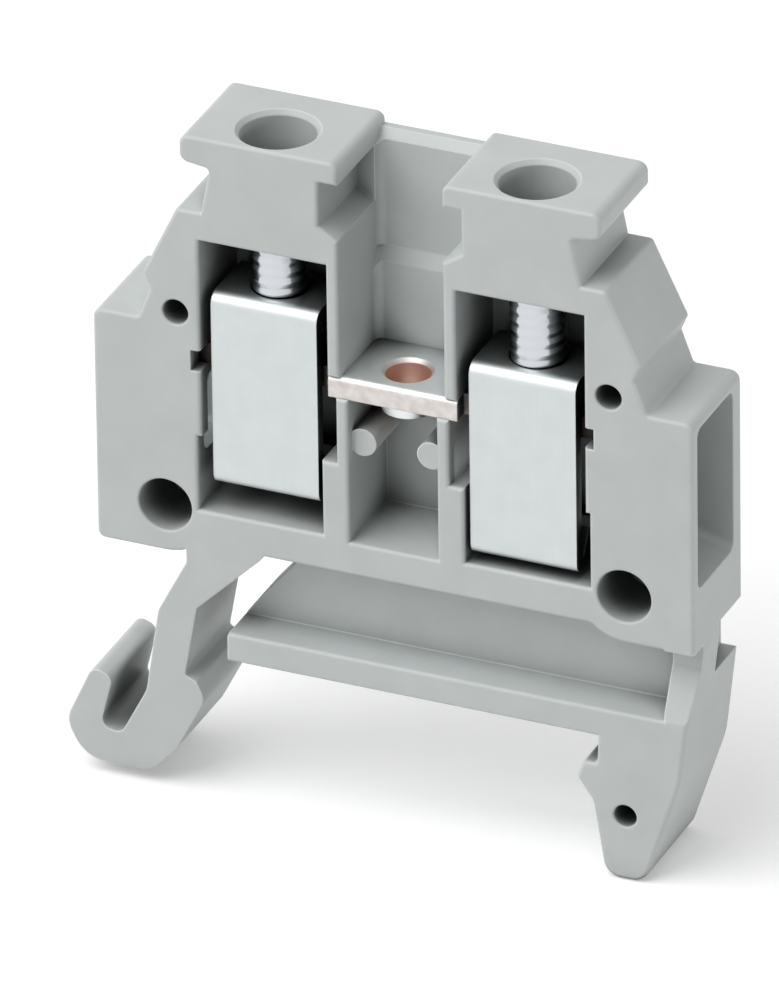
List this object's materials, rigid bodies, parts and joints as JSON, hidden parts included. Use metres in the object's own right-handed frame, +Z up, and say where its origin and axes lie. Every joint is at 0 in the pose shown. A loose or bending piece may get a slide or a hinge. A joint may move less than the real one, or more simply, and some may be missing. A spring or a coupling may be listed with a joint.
{
  "type": "micro terminal block",
  "caption": "Narrow rail-mounted feed-through terminal block, open on one side, with a current bar and rising-cage screw clamps that each lift a folded sleeve.",
  "frame": {"origin": "on the rail seat, midway between the two clamping screws and at mid thickness of the housing", "axes": "+X along the wires towards the fixed hook foot, +Y along the rail towards the closed side with the pegs, +Z up away from the rail"},
  "size_m": [0.0235, 0.0054, 0.0258],
  "materials": {
    "housing_polyamide": "satin grey polyamide",
    "tinned_copper": "satin tin plating on copper",
    "zinc_plated_strip": "satin zinc plating",
    "zinc_plated_screw": "bright zinc plating"
  },
  "bodies": {
    "housing_body": {"housing": "housing_polyamide", "current_bar": "tinned_copper"},
    "screw_left": {"clamping_screw_left": "zinc_plated_screw"},
    "screw_right": {"clamping_screw_right": "zinc_plated_screw"},
    "sleeve_left": {"clamping_sleeve_left": "zinc_plated_strip"},
    "sleeve_right": {"clamping_sleeve_right": "zinc_plated_strip"}
  },
  "joints": [
    {"name": "screw_left_turn", "type": "hinge", "parent": "housing_body", "child": "screw_left", "pos_m": [-0.0048, -0.00045, 0.012], "axis": [0, 0, -1], "range_deg": [-901, 1711]},
    {"name": "screw_right_turn", "type": "hinge", "parent": "housing_body", "child": "screw_right", "pos_m": [0.0048, -0.00045, 0.012], "axis": [0, 0, -1], "range_deg": [-226, 2386]},
    {"name": "sleeve_left_lift", "type": "slide", "parent": "housing_body", "child": "sleeve_left", "axis": [0, 0, 1], "range_m": [-0.001, 0.0019]},
    {"name": "sleeve_right_lift", "type": "slide", "parent": "housing_body", "child": "sleeve_right", "axis": [0, 0, 1], "range_m": [-0.00025, 0.00265]}
  ],
  "couplings": [
    {"joint": "screw_left_turn", "follows": "sleeve_left_lift", "rad_per_m": 15708},
    {"joint": "screw_right_turn", "follows": "sleeve_right_lift", "rad_per_m": 15708}
  ]
}
